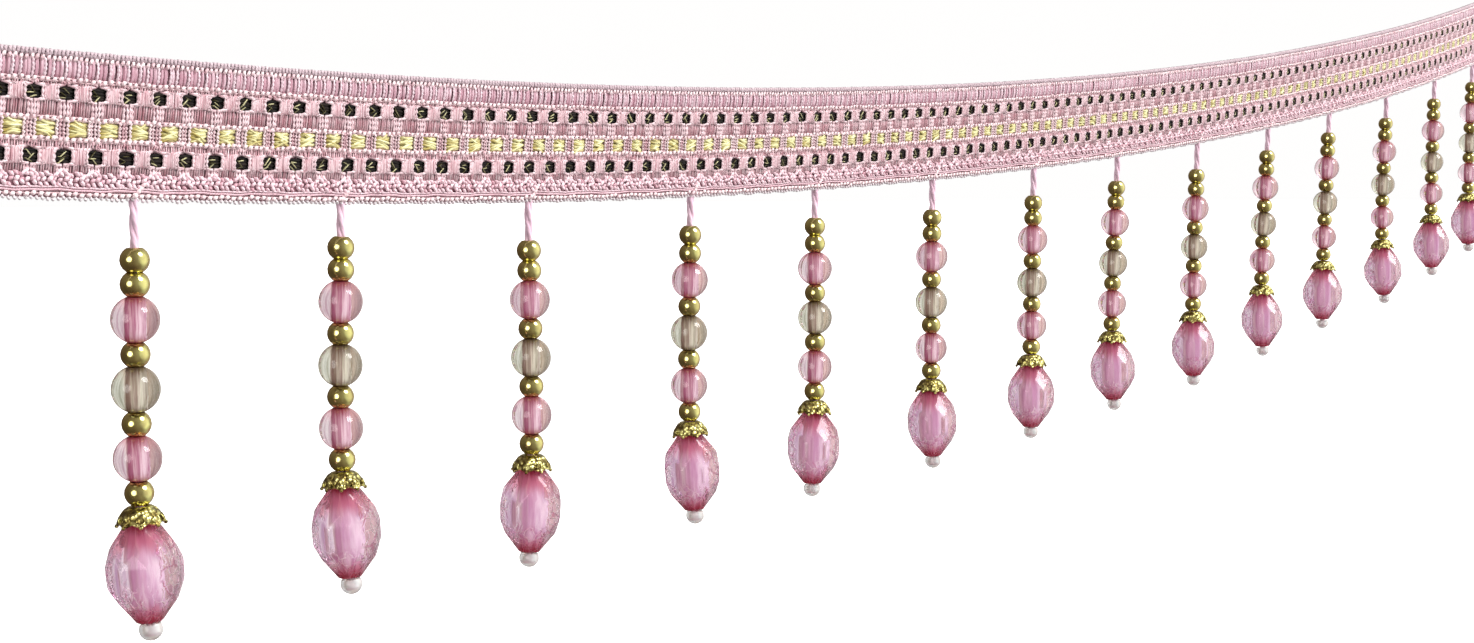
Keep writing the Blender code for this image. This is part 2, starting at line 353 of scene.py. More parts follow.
class Skein:
    """The threads of one piece: batches of small tubes, laid flat, then hung together as one mesh."""

    def __init__(self):
        self.points, self.faces, self.uvs, self.tones, self.count = [], [], [], [], 0

    def tubes(self, paths, radius, tone, sides=4, front=(0.03, -1.0, 0.02)):
        """Tubes round many paths at once, as (tube, point, 3). Each point has a radius and a tone."""
        size = paths.shape[:2]
        radius = np.broadcast_to(radius, size)
        tone = np.broadcast_to(tone, size)
        along = np.gradient(paths, axis=1)
        along /= np.linalg.norm(along, axis=2, keepdims=True)
        front = np.array(front)
        side = front - (along @ front)[..., None] * along
        side /= np.linalg.norm(side, axis=2, keepdims=True)
        third = np.cross(along, side)
        turn = 2 * math.pi * np.arange(sides) / sides
        round_it = side[:, :, None] * np.cos(turn)[:, None] + third[:, :, None] * np.sin(turn)[:, None]
        points = paths[:, :, None] + radius[..., None, None] * round_it
        index = self.count + np.arange(points[..., 0].size).reshape(points.shape[:3])
        after = np.roll(index, -1, axis=2)
        walls = np.stack([index[:, :-1], after[:, :-1], after[:, 1:], index[:, 1:]], axis=-1)
        gap = np.linalg.norm(np.diff(paths, axis=1), axis=2)
        length = np.concatenate([np.zeros((size[0], 1)), np.cumsum(gap, axis=1)], axis=1) * 1000
        length = length + seeded.rand(size[0], 1) * 7
        grid, wall_uvs = unwrapped(np.arange(sides + 1) / sides, length)
        self.faces += [walls.reshape(-1, 4), index[:, 0, ::-1], index[:, -1]]
        self.uvs += [uvs.reshape(-1, 2) for uvs in (wall_uvs, grid[:, 0, :-1], grid[:, -1, :-1])]
        self.points.append(points.reshape(-1, 3))
        self.tones.append(np.repeat(tone.reshape(-1), sides))
        self.count += points[..., 0].size

    def lay(self, x, height, depth, radius, tone, sides=4):
        """Threads on the tape, in mm: along it, below its top edge, and in front of its middle."""
        x, height, depth = np.broadcast_arrays(*[np.atleast_2d(each) for each in (x, height, depth)])
        x = x - WEFT_LEAN * height
        on_tape = np.abs(x).max(axis=1) < TAPE_LENGTH / 2 - 0.1
        radius = np.broadcast_to(radius, x.shape)[on_tape]
        tone = np.broadcast_to(tone, x.shape)[on_tape]
        flat = np.stack([x, -depth, -height], axis=-1)[on_tape] / 1000
        self.tubes(flat, radius / 1000, tone, sides)

    def run(self, height, depth, radius, tone, wander=0.05, points=430):
        """A thread that runs the whole length of the tape, wandering a little up and down."""
        reach = TAPE_LENGTH / 2 - 0.5
        along = np.linspace(-reach, reach, points)[None]
        height = height + wander * (np.sin(along / 2.1) + 0.6 * np.sin(along / 0.83 + height))
        self.lay(along + WEFT_LEAN * height, height, depth, radius, tone, sides=3)

    def knit(self, name, finish, slot="tape", node="header_tape", hung=True):
        """The one mesh of all the threads, as a piece that stands for a CAD node."""
        points = np.concatenate(self.points)
        if hung:
            points = hang(points)
        mesh = bpy.data.meshes.new(name)
        totals = np.concatenate([np.full(len(f), f.shape[1]) for f in self.faces])
        corners = np.concatenate([f.reshape(-1) for f in self.faces])
        mesh.vertices.add(len(points))
        mesh.vertices.foreach_set("co", points.astype(np.float32).reshape(-1))
        mesh.loops.add(len(corners))
        mesh.loops.foreach_set("vertex_index", corners.astype(np.int32))
        mesh.polygons.add(len(totals))
        starts = np.concatenate([[0], np.cumsum(totals)[:-1]])
        mesh.polygons.foreach_set("loop_start", starts.astype(np.int32))
        mesh.polygons.foreach_set("use_smooth", np.ones(len(totals), bool))
        uvs = np.concatenate(self.uvs).astype(np.float32)
        mesh.uv_layers.new(name="thread").data.foreach_set("uv", uvs.reshape(-1))
        tones = mesh.attributes.new("tone", "FLOAT", "POINT")
        tones.data.foreach_set("value", np.concatenate(self.tones).astype(np.float32))
        mesh.update(calc_edges=True)
        mesh.validate()
        mesh.materials.append(finish)
        fasten(show(name, mesh), node)


TWISTED = {"plies": 2, "twist": 0.55, "roughness": 0.6, "sheen": 0.35}
FLOSS = {"plies": 5, "twist": 8.0, "roughness": 0.5, "sheen": 0.3}


def thread_finish(name, deep, pale, plies, twist, roughness, sheen, relief=0.00005):
    """Spun thread: a diagonal ply, with one turn in so many mm of twist, loose fibres along it, and
    a tone that differs from thread to thread."""
    material, shade, place = new_finish(
        name, Sheen_Weight=sheen, Sheen_Roughness=0.4, Specular_IOR_Level=0.45
    )
    u, v = shade.wrapping("thread")
    tone = shade.node("ShaderNodeAttribute", out="Fac", attribute_name="tone")
    ply = shade.sum("SINE", (u * plies + v * (1 / twist)) * (2 * math.pi))
    strands = shade.node("ShaderNodeCombineXYZ", {0: u * 14.0, 1: v * 1.3 + u * 4.0})
    fibre = shade.noise(strands, 1.0)
    patches = shade.noise(place, 260.0, 1.0)
    share = tone + (patches - 0.5) * 0.5 + (fibre - 0.5) * 0.5 + ply * 0.06
    colour = shade.blend(share.between(-0.15, 1.15), deep, pale)
    height = ply * 0.5 + fibre * 0.9
    bump = shade.bump(height, 1.0, relief)
    rough = (fibre * 0.3 + (roughness - 0.15)).between(0.0, 1.0)
    return feed(material, Base_Color=colour, Normal=bump, Roughness=rough)


twisted_pink = thread_finish("twisted_pink_cotton", (0.58, 0.31, 0.35), (0.91, 0.74, 0.75), **TWISTED)
# A greyed pink for the loops that turn over the tape's edges: the grey is painted shade.
shade_grey_pink = thread_finish(
    "painted_shade_pink_cotton", (0.45, 0.34, 0.37), (0.88, 0.78, 0.81), 2, 0.55, 0.7, 0.3
)


def every(spacing, shift=0.0):
    """The places along the tape for what repeats at a spacing."""
    most = math.ceil((TAPE_LENGTH / 2 + 4) / spacing)
    return (np.arange(-most, most + 1) * spacing + shift)[:, None]


def loose(like, amount):
    """A small offset of its own for each thread."""
    return (seeded.rand(len(like), 1) - 0.5) * 2 * amount


def mottled(like, points, amount):
    """A small offset of its own for each point of each thread."""
    return (seeded.rand(len(like), points) - 0.5) * 2 * amount


def between_tones(like, low, high):
    """A tone of its own for each thread, from low (deep) to high (pale)."""
    return low + seeded.rand(len(like), 1) * (high - low)


# The top loops take the deepest greys of that finish, as painted shade over the edge.
edge_loops = Skein()
at = every(STITCH)
edge_loops.lay(
    at + [-0.34, -0.12, 0.12, 0.34, 0.46] + loose(at, 0.06),
    [0.90, 0.34, -0.06, -0.10, 0.40] + loose(at, 0.05),
    [0.72, 0.96, 0.58, -0.15, -0.62],
    0.32,
    between_tones(at, -0.6, 0.2),
)
edge_loops.knit("top_edge_loops", shade_grey_pink)

edge_stitches = Skein()
at = every(PITCH / 6, 0.3)
edge_stitches.lay(
    at + [-0.20, -0.08, 0.08, 0.20] + loose(at, 0.07),
    [1.66, 1.32, 0.98, 0.70] + loose(at, 0.10),
    [0.58, 1.04, 1.04, 0.60],
    [0.14, 0.33, 0.31, 0.14],
    between_tones(at, 0.4, 1.1),
)
edge_stitches.knit("top_edge_stitches", twisted_pink)


# The satin band under it. Untwisted pink floss laid straight across, eight to a repeat. Three of the
# eight stand up as pale knobbly chains, and the others lie flat and deeper between them.
BAR_RISE = (1.0, 0.0, 0.25, 0.95, 0.05, 0.15, 0.90, 0.20)
SATIN_TOP = 1.15
SATIN_BOTTOM = 4.25

floss_pink = thread_finish("laid_pink_floss", (0.50, 0.26, 0.32), (0.84, 0.67, 0.72), **FLOSS)
satin_bars = Skein()
for place, rise in enumerate(BAR_RISE):
    at = every(PITCH, 0.1 + (place - 3.5) * STITCH)
    steps_down = np.linspace(SATIN_TOP, SATIN_BOTTOM, 10 if rise > 0.5 else 5)
    share = (steps_down - SATIN_TOP) / (SATIN_BOTTOM - SATIN_TOP)
    knob = (np.arange(len(steps_down)) % 2 - 0.5) * (rise > 0.5)
    tone = 0.28 - 0.28 * share + 0.75 * rise + 0.35 * knob
    height = steps_down + loose(at, 0.12)
    satin_bars.lay(
        at + 0.04 * np.sin(5 * share) + loose(at, 0.14),
        height,
        0.45 + 0.28 * np.sin(math.pi * share) + 0.30 * rise + 0.10 * knob + loose(at, 0.05),
        0.45 - 0.19 * rise + 0.10 * knob,
        tone + loose(at, 0.15) + mottled(at, len(share), 0.22),
    )
satin_bars.knit("satin_bars", floss_pink)


# Three chain lines. Each is a row of small round locking stitches, a little apart, that runs the whole
# length of the tape over two deeper threads, and ties the laid-in yarns down. The two threads are
# painted a deeper tone than the stitches, as shade between them.
CHAIN_HEIGHTS = (4.45, 10.50, 13.75)
CHAIN_STEP = PITCH / 5

for number, height in enumerate(CHAIN_HEIGHTS):
    chain = Skein()
    at = every(CHAIN_STEP, 0.2 * number)
    chain.lay(
        at + [-0.24, -0.10, 0.10, 0.24] + loose(at, 0.12),
        height + np.array([0.34, 0.14, -0.14, -0.34]) + loose(at, 0.16),
        [0.60, 1.04, 1.06, 0.60] + loose(at, 0.06),
        [0.14, 0.33, 0.35, 0.14] + loose(at, 0.04),
        between_tones(at, 0.50, 1.10) + mottled(at, 4, 0.2),
    )
    # the threads under the stitches: their deeper tone is painted shade between the stitches
    for place in (-0.20, 0.24):
        chain.run(height + place, 0.64, 0.25, 0.50)
    chain.knit(f"chain_line_{number + 1}", twisted_pink)


# The two ladders. Twelve laid-in yarns to a repeat run down from a chain line. The middle four are
# pale knobbly chains, which part round a square window of dark yarn and close again under it. The
# others lie smooth and deeper beside them, and bow round the lower windows.
LADDER_PLACES = (np.arange(12) + 0.5) * PITCH / 12 - PITCH / 2
WINDOW_PLACES = (2.76, 2.53, 2.28, 2.04, 1.80, 1.53)
STEM_PLACES = (2.60, 2.14, 1.66, 1.20, 0.80, 0.26)

warm_floss = thread_finish("laid_warm_pink_floss", (0.54, 0.25, 0.29), (0.86, 0.65, 0.68), **FLOSS)


def ladder(heights, parting, closing, name, beside, below):
    """One ladder: how far each yarn is parted and gathered at each height, for all the repeats."""
    skein = Skein()
    columns = every(PITCH)
    even = np.linspace(heights[0], heights[-1], 14)
    knots = np.unique(np.concatenate([even, heights[1:4], heights[5:8]]))
    for number, place in enumerate(LADDER_PLACES):
        side = math.copysign(1.0, place)
        rank = number if number < 6 else 11 - number
        inner = rank >= 4
        at = knots if inner else heights
        part = np.interp(at, heights, parting)
        close = np.interp(at, heights, closing)
        straight = place * (1 - close) + side * STEM_PLACES[rank] * close
        x = straight * (1 - part) + side * WINDOW_PLACES[rank] * part
        rise = 0.62 + (0.14 + 0.04 * rank) * part + 0.30 * inner * close + 0.10 * (rank % 2)
        rise[0], rise[-1] = 0.50, 0.50
        radius = np.full(len(at), 0.28)
        tone = beside[rank] * part + below[rank] * close + 0.5 * (1 - np.maximum(part, close))
        if inner:
            knob = np.arange(len(at)) % 2
            radius = 0.17 + 0.15 * knob
            rise = rise + 0.10 * knob
            tone = tone + 0.35 * (knob - 0.6)
        skein.lay(
            columns + x + loose(columns, 0.06) + loose(columns, 0.09) * part,
            at + loose(columns, 0.10 if inner else 0.04),
            rise + loose(columns, 0.06),
            radius,
            tone + loose(columns, 0.15) + mottled(columns, len(at), 0.32),
            sides=4 if inner else 3,
        )
    skein.knit(name, warm_floss)


ladder(
    [4.45, 5.25, 5.38, 5.60, 6.50, 7.45, 7.62, 7.80, 8.70, 10.50],
    [0.0, 0.04, 0.90, 1.0, 1.0, 1.0, 0.90, 0.04, 0.0, 0.0],
    [0.0, 0.0, 0.0, 0.0, 0.0, 0.0, 0.1, 0.45, 1.0, 1.0],
    "upper_ladder",
    (0.55, 0.65, 0.55, 0.75, 0.80, 0.90),
    (0.26, 0.42, 0.34, 0.52, 0.92, 1.08),
)
ladder(
    [13.75, 15.05, 15.22, 15.45, 16.40, 17.40, 17.60, 17.80, 19.40],
    [0.0, 0.04, 0.90, 1.0, 1.0, 1.0, 0.90, 0.04, 0.0],
    [0.0, 0.0, 0.0, 0.0, 0.0, 0.0, 0.1, 0.45, 1.0],
    "lower_ladder",
    (0.75, 0.50, 0.85, 0.55, 0.90, 0.95),
    (0.55, 0.47, 0.60, 0.60, 0.90, 0.98),
)


# The dark windows. A bundle of near-black brown yarn runs behind the ladders, and fine olive-gold
# metal thread is wound over it, so that each opening shows a dark square with a few glints. The metal
# thread's finish is not metallic: its pale tones are painted glints.
WINDOW_HEIGHTS = (6.50, 16.42)

dark_yarn = thread_finish(
    "blackish_brown_yarn", (0.002, 0.001, 0.001), (0.016, 0.009, 0.006), 3, 1.2, 0.85, 0.0
)
# not a metal finish: the pale of this thread is a painted glint
gold_thread = thread_finish(
    "olive_gold_thread", (0.06, 0.05, 0.012), (0.62, 0.58, 0.32), 2, 0.4, 0.35, 0.0, 0.00003
)
dark_bundle = Skein()
glints = Skein()
for height in WINDOW_HEIGHTS:
    columns = every(PITCH)
    for strand in (-0.75, -0.25, 0.25, 0.75):
        dark_bundle.lay(
            columns + [-1.70, -0.80, 0.80, 1.70],
            height + strand + loose(columns, 0.14) * [1, 1, -1, -1],
            [0.20, 0.62, 0.62, 0.20] + loose(columns, 0.08),
            0.34,
            between_tones(columns, 0.0, 1.0),
        )
    # some strands are pale, as painted glints, and others deep
    for strand in (-0.35, 0.20, 0.75):
        slant = loose(columns, 1.1)
        glints.lay(
            columns - 0.10 + [-1.1, -0.55, -0.1, 0.35, 0.8] + loose(columns, 0.4),
            height + strand + slant * [-0.6, -0.6, 0.1, 0.6, 0.6],
            [0.50, 0.94, 1.02, 0.90, 0.50],
            [0.05, 0.13, 0.15, 0.12, 0.05],
            between_tones(columns, -0.4, 1.6),
            sides=3,
        )
dark_bundle.knit("dark_windows", dark_yarn, "dark_yarn")
glints.knit("gold_glints", gold_thread, "dark_yarn")


# The yellow row. A flat bundle of pale yellow floss runs behind pairs of pink chains and swells out
# between them, half a repeat along from the dark windows. Its strands are painted deep olive at their
# ends, as shade where they dive under the chains, and pale in the middle, as a painted highlight.
YELLOW_SHIFT = 2.45
YELLOW_MIDDLE = 12.10
YELLOW_SPREAD = np.array([0.9, 1.0, 0.75, 1.0, 0.9])

yellow_floss = thread_finish(
    "pale_yellow_floss", (0.40, 0.31, 0.07), (0.87, 0.85, 0.48), 4, 6.0, 0.45, 0.2, 0.00004
)
yellow_bundle = Skein()
columns = every(PITCH, YELLOW_SHIFT)
# tones along each strand: painted shade at the ends, a painted highlight in the middle
for strand in (-0.85, 0.0, 0.85):
    yellow_bundle.lay(
        columns + [-1.75, -0.9, 0.0, 0.9, 1.75],
        YELLOW_MIDDLE + strand + loose(columns, 0.05),
        [0.25, 0.48, 0.54, 0.48, 0.25],
        0.48,
        [0.1, 0.3, 0.5, 0.4, 0.2],
    )
# deeper at the left end than the right: painted shade, with a painted highlight in the middle
for strand in (-1.00, -0.60, -0.20, 0.20, 0.60, 1.00):
    slant = loose(columns, 0.75)
    yellow_bundle.lay(
        columns + [-1.85, -1.10, 0.0, 1.10, 1.85] + loose(columns, 0.12),
        YELLOW_MIDDLE + strand * YELLOW_SPREAD + slant * [1.0, 0.8, 0.0, -0.8, -1.0],
        [0.40, 0.80, 1.00, 0.80, 0.40] + loose(columns, 0.12),
        0.25,
        [0.0, 0.25, 0.75, 0.50, 0.15] + loose(columns, 0.30) + mottled(columns, 5, 0.35),
    )
yellow_bundle.knit("yellow_row", yellow_floss, "yellow_yarn")

row_chains = Skein()
columns = every(PITCH)
for place, pale in ((-1.30, 0.80), (-0.68, 0.35), (-0.06, 0.45), (0.56, 0.85)):
    knob = np.arange(11) % 2
    row_chains.lay(
        columns + place + loose(columns, 0.07) + 0.05 * np.sin(np.arange(11)),
        np.linspace(CHAIN_HEIGHTS[1], CHAIN_HEIGHTS[2], 11) + loose(columns, 0.15),
        0.66 + 0.20 * knob + 0.12 * (pale > 0.6),
        0.17 + 0.17 * knob,
        pale + 0.35 * (knob - 0.6) + loose(columns, 0.25),
    )
row_chains.knit("row_chains", twisted_pink)


# The braided band along the bottom. Three rows of plump stitches in deeper rose lean to and fro like
# a herringbone, swelling twice in each repeat, above two smooth rose threads.
BAND_ROWS = (
    # height, spacing as a share of the repeat, tone
    (19.35, 0.153, 0.72),
    (20.05, 0.167, 0.78),
    (20.80, 0.187, 0.85),
)

rose_twist = thread_finish("twisted_rose_cotton", (0.55, 0.24, 0.30), (0.90, 0.68, 0.73), **TWISTED)
braided_band = Skein()
for row, (height, spacing, tone) in enumerate(BAND_ROWS):
    at = every(PITCH * spacing, 0.40 * row)
    lean = 1.0 if row % 2 else -1.0
    swell = np.cos(2 * math.pi * (at - 0.6 * row) / (PITCH / 2))
    braided_band.lay(
        at + [-0.33, -0.12, 0.12, 0.33] + loose(at, 0.12),
        height + lean * np.array([0.38, 0.14, -0.14, -0.38]) + loose(at, 0.14) - 0.14 * swell,
        [0.50, 1.05, 1.05, 0.50] + 0.10 * swell,
        [0.12, 0.37, 0.37, 0.12] + 0.03 * swell,
        tone + 0.20 * swell + loose(at, 0.40),
    )
columns = every(PITCH)
for side in (-1.0, 1.0):
    for shift in (0.0, 0.42):
        braided_band.lay(
            columns + side * (np.array([0.12, 0.38, 0.72, 1.05]) + shift) + loose(columns, 0.10),
            np.array([18.30, 18.62, 18.98, 19.30]) + shift + loose(columns, 0.10),
            [0.70, 1.20, 1.20, 0.65],
            [0.14, 0.30, 0.32, 0.16],
            between_tones(columns, 0.6, 1.2),
        )
for place, tone in ((21.28, 0.90), (21.72, 0.55)):
    braided_band.run(place, 0.84, 0.28, tone, 0.10)
braided_band.knit("braided_band", rose_twist)


# The bottom edging. A chain of pale slanted stitches, a little wavy, with small loops under it where
# the wefts turn back, greyed with painted shade. Each drop's cord is caught in it.
EDGE_HEIGHT = 22.42
EDGE_WAVE = 2 * math.pi / 5.9
EDGE_RIPPLE = 2 * math.pi / 2.3

edging = Skein()
at = every(1.20)
wave = 0.10 * np.sin(EDGE_WAVE * at) + 0.06 * np.sin(EDGE_RIPPLE * at)
edging.lay(
    at + [-0.24, -0.10, 0.10, 0.24] + loose(at, 0.10),
    EDGE_HEIGHT + wave + [0.24, 0.10, -0.10, -0.24] + loose(at, 0.10),
    [0.45, 1.00, 1.02, 0.45],
    [0.12, 0.37, 0.37, 0.12],
    between_tones(at, 0.7, 1.25),
)
edging.run(22.25, 0.60, 0.26, 0.45)
edging.knit("bottom_edging", twisted_pink, "cord", "edging_cords")

# These loops are greyed with painted shade on the underside of the edge.
under_loops = Skein()
at = every(0.95, 0.3)
wave = 0.12 * np.sin(EDGE_WAVE * at)
under_loops.lay(
    at + [-0.40, -0.15, 0.15, 0.38, 0.45] + loose(at, 0.06),
    22.76 + wave + [0.02, 0.32, 0.38, 0.32, -0.10] + loose(at, 0.08),
    [0.66, 0.66, 0.24, -0.30, -0.62],
    0.30,
    between_tones(at, 1.4, 2.0),
)
under_loops.knit("bottom_edge_loops", shade_grey_pink, "cord", "edging_cords")


# The back of the tape. The same wefts cross between the chain lines, and the dark and yellow yarns,
# which the front hides, show here between their windows.
BACK_CHAINS = (1.10, 4.40, 10.45, 13.70, 19.30, 22.40)

back_wefts = Skein()
for top, bottom in zip(BACK_CHAINS[:-1], BACK_CHAINS[1:]):
    at = every(PITCH / 6)
    back_wefts.lay(
        at + [-0.12, 0.0, 0.12] + loose(at, 0.1),
        [top - 0.1, (top + bottom) / 2, bottom + 0.1],
        [-0.40, -0.62, -0.40],
        0.36 + 0.04 * seeded.rand(len(at), 1),
        between_tones(at, 0.1, 0.8),
        sides=3,
    )
back_wefts.knit("back_wefts", floss_pink)

back_chains = Skein()
for number, height in enumerate(BACK_CHAINS):
    at = every(PITCH / 5, 0.2 * number)
    back_chains.lay(
        at + [-0.50, -0.17, 0.17, 0.50] + loose(at, 0.05),
        height + np.array([0.22, 0.10, -0.10, -0.22]) + loose(at, 0.05),
        [-0.45, -0.76, -0.76, -0.45],
        [0.20, 0.32, 0.32, 0.20],
        between_tones(at, 0.4, 1.1),
        sides=3,
    )
back_chains.knit("back_chains", twisted_pink)

back_dark = Skein()
columns = every(PITCH, PITCH / 2)
for height in WINDOW_HEIGHTS:
    for strand in (-0.35, 0.35):
        back_dark.lay(
            columns + [-1.5, -0.8, 0.8, 1.5],
            height + strand + loose(columns, 0.12),
            [-0.40, -0.80, -0.80, -0.40],
            0.27,
            between_tones(columns, 0.2, 1.0),
        )
back_dark.knit("back_dark_floats", dark_yarn, "dark_yarn")

# The floats' ends are deeper in tone where they dive into the knit: painted shade.
back_yellow = Skein()
columns = every(PITCH, YELLOW_SHIFT - PITCH / 2)
for strand in (-0.35, 0.35):
    back_yellow.lay(
        columns + [-1.4, -0.7, 0.7, 1.4],
        YELLOW_MIDDLE + strand + loose(columns, 0.12),
        [-0.40, -0.80, -0.80, -0.40],
        0.27,
        [0.2, 0.9, 0.9, 0.2] + loose(columns, 0.2),
    )
back_yellow.knit("back_yellow_floats", yellow_floss, "yellow_yarn")


# The drops' cords. Each is three plies of pale pink cotton, 1.5 mm thick, that comes out of the knit
# behind the edging and hangs straight down through the beads into the stopper. A few plump stitches
# climb from it across the braided band and lock it.
DROP_SPACING = 45.0
DROPS = (
    # nudge along the tape in mm, bare cord in mm, lean in degrees, bow to the side in mm
    (0.2, 7.5, 0.8, 1.1),
    (-2.4, 5.8, 0.6, 1.1),
    (-1.0, 7.5, -0.9, -0.6),
    (1.8, 6.2, 0.7, 0.9),
    (-0.3, 6.5, -1.1, -0.4),
    (1.0, 7.4, 0.5, 0.4),
    (1.6, 7.2, -0.5, 0.1),
    (-1.0, 6.8, -0.3, 1.0),
    (-0.7, 7.8, -0.3, 0.5),
    (-0.4, 6.9, -1.0, 0.9),
    (-1.4, 6.3, -1.8, 0.4),
    (0.7, 7.3, 1.4, 1.1),
    (1.5, 6.7, 1.3, 0.6),
    (-0.8, 6.7, 0.3, 0.5),
)
CORD_END = 64.1
CORD_STEP = 1.2
BOW_SIDE = Vector((-0.67, 0.74, 0.0))
PLY_RADIUS = 0.50
PLY_OFFSET = 0.36
PLY_TURN = 13.0
# each stitch's place beside the cord and height below the tape's top edge, in mm
LOCKING_STITCHES = ((-0.25, 22.30), (0.35, 21.75), (0.80, 21.15), (1.25, 20.60))

pale_cord = thread_finish(
    "pale_pink_cord", (0.62, 0.38, 0.48), (0.84, 0.60, 0.70), 3, 1.6, 0.7, 0.2, 0.00003
)


def root_along(number):
    """How far along the tape a drop's cord is sewn in, in mm from its middle."""
    return (number - (len(DROPS) - 1) / 2) * DROP_SPACING + DROPS[number][0]


def on_cord(number, below):
    """The place so many mm below the root of a drop's cord: a matrix whose -Z runs down the cord."""
    _, bare, lean, bow = DROPS[number]
    root = hang(np.array([root_along(number), 0.0, -TAPE_WIDTH]) / 1000)
    hung = Matrix.Translation(root) @ Matrix.Rotation(-math.radians(lean), 4, "Y")
    places = []
    for depth in (below, below + 0.1):
        share = max(depth, 0.0) / (bare + CORD_END)
        places.append(bow * math.sin(math.pi * share**1.4) * BOW_SIDE + Vector((0, 0, -depth)))
    turn = Vector((0, 0, -1)).rotation_difference(places[1] - places[0]).to_matrix().to_4x4()
    return hung @ Matrix.Translation(places[0] / 1000) @ turn


for number, drop in enumerate(DROPS):
    length = drop[1] + CORD_END
    down = np.append(np.arange(-CORD_STEP, length - CORD_STEP / 2, CORD_STEP), length)
    wound = 2 * math.pi * down / PLY_TURN + seeded.rand() * 6
    cord = Skein()
    for third in range(3):
        angle = wound + 2 * math.pi * third / 3
        across = np.stack([np.cos(angle), np.sin(angle), 0 * down], axis=-1) * PLY_OFFSET / 1000
        ply = [on_cord(number, depth) @ Vector(place) for depth, place in zip(down, across)]
        tone = 0.4 + 0.2 * third
        cord.tubes(np.array(ply)[None], PLY_RADIUS / 1000, tone, sides=6, front=(0.99, 0.1, 0.0))
    cord.knit(f"drop_cord_{number + 1:02d}", pale_cord, "cord", "edging_cords", hung=False)

locking = Skein()
roots = np.array([[root_along(number)] for number in range(len(DROPS))])
for shift, height in LOCKING_STITCHES:
    at = roots + WEFT_LEAN * height + shift
    locking.lay(
        at + [-0.34, -0.12, 0.12, 0.34] + loose(at, 0.10),
        height + np.array([0.42, 0.16, -0.16, -0.42]) + loose(at, 0.12),
        [0.60, 1.16, 1.16, 0.60],
        [0.16, 0.36, 0.36, 0.16],
        between_tones(at, 0.5, 0.9),
        sides=6,
    )
locking.knit("locking_stitches", twisted_pink, "cord", "edging_cords")


# The small gold beads. Pressed metal-plated beads, 4.9 mm across and 4.0 mm tall with flat bored ends,
# five to a drop, olive gold and polished.
GOLD_HEIGHT = 4.0
GOLD_RADIUS = 2.45
GOLD_PLACES = (0.0, 4.0, 15.5, 27.0, 38.5)
BEAD_NECK = 1.3
NEAR = 1e-5


def pick_faces(obj, wanted):
    """In edit mode, selects the faces that answer to wanted, and nothing else."""
    bpy.ops.mesh.select_mode(type="FACE")
    bpy.ops.mesh.select_all(action="DESELECT")
    bm = bmesh.from_edit_mesh(obj.data)
    for face in bm.faces:
        face.select_set(wanted(face))
    bmesh.update_edit_mesh(obj.data)


def face_up(face):
    """Whether a face lies flat, facing up or down."""
    return abs(face.normal.z) > 0.99


def cut_flat(height, side):
    """In edit mode, cuts a piece off flat: above a height in metres where side is 1, or below it."""
    bpy.ops.mesh.select_all(action="SELECT")
    bpy.ops.mesh.bisect(
        plane_co=(0, 0, height), plane_no=(0, 0, side), use_fill=True, clear_outer=True, threshold=1e-6
    )


def bridge_bore():
    """In edit mode, joins the two open holes of a piece by the wall of its bore."""
    bpy.ops.mesh.select_mode(type="EDGE")
    bpy.ops.mesh.select_non_manifold()
    bpy.ops.mesh.bridge_edge_loops()
    close_up()


def ease_edges(piece, width, steps, sharper_than):
    """Rounds the edges that are sharper than an angle in degrees, by a width in mm."""
    rounding = piece.modifiers.new("rounding", "BEVEL")
    rounding.width = width / 1000
    rounding.segments = steps
    rounding.limit_method = "ANGLE"
    rounding.angle_limit = math.radians(sharper_than)
    bpy.ops.object.modifier_apply(modifier="rounding")


def turned_bead(name, height, radius, bore, around, rings, rim):
    """A bored bead, sizes in mm: a ball cut flat at both ends, with a bore and rounded rims."""
    bpy.ops.mesh.primitive_uv_sphere_add(segments=around, ring_count=rings, radius=radius / 1000)
    bead = bpy.context.active_object
    bead.name = name
    bead.scale.z = height / 2 / math.sin(math.acos(BEAD_NECK / radius)) / radius
    bpy.ops.object.transform_apply(location=False, rotation=False, scale=True)
    end = height / 2000
    bpy.ops.object.mode_set(mode="EDIT")
    for side in (1, -1):
        cut_flat(side * end, side)
    pick_faces(bead, lambda face: face_up(face) and abs(face.calc_center_median().z) > end - NEAR)
    bpy.ops.mesh.inset(thickness=(BEAD_NECK - bore) / 1000)
    bpy.ops.mesh.delete(type="FACE")
    bridge_bore()
    ease_edges(bead, rim, 1, 38)
    smooth(40)
    return bead


def copy_of(model, place, name):
    """A copy of a model with its own mesh, moved to a place."""
    mesh = model.data.copy()
    mesh.name = name
    mesh.transform(place)
    return show(name, mesh)


def thread_beads(family, kinds, wobble, facing=None):
    """Threads beads on every cord, each turned at random and tilted a little. Those of one kind on a
    drop are one piece: a kind is (model, name, slot, height, places), and its slot is not used. Beads
    that face one way have their turn on the first drop, how much less it is on each one after, and
    how far it wanders."""
    for number, drop in enumerate(DROPS):
        node = f"{family}_{number + 1:02d}"
        for model, kind, slot, height, places in kinds:
            copies = []
            for place in places:
                tilt = Matrix.Rotation((seeded.rand() - 0.5) * 2 * wobble, 4, "X")
                tilt = tilt @ Matrix.Rotation((seeded.rand() - 0.5) * 2 * wobble, 4, "Y")
                chance = seeded.rand()
                turn = chance * 2 * math.pi
                # the round beads' sleeves turn their painted glow toward the camera
                if facing:
                    first, step, wander = facing
                    turn = first - step * number + (chance - 0.5) * wander
                spot = on_cord(number, drop[1] + place + height / 2)
                spot = spot @ tilt @ Matrix.Rotation(turn, 4, "Z")
                copies.append(copy_of(model, spot, f"{kind}_{node}"))
            choose(*reversed(copies))
            if len(copies) > 1:
                bpy.ops.object.join()
            fasten(copies[0], node)


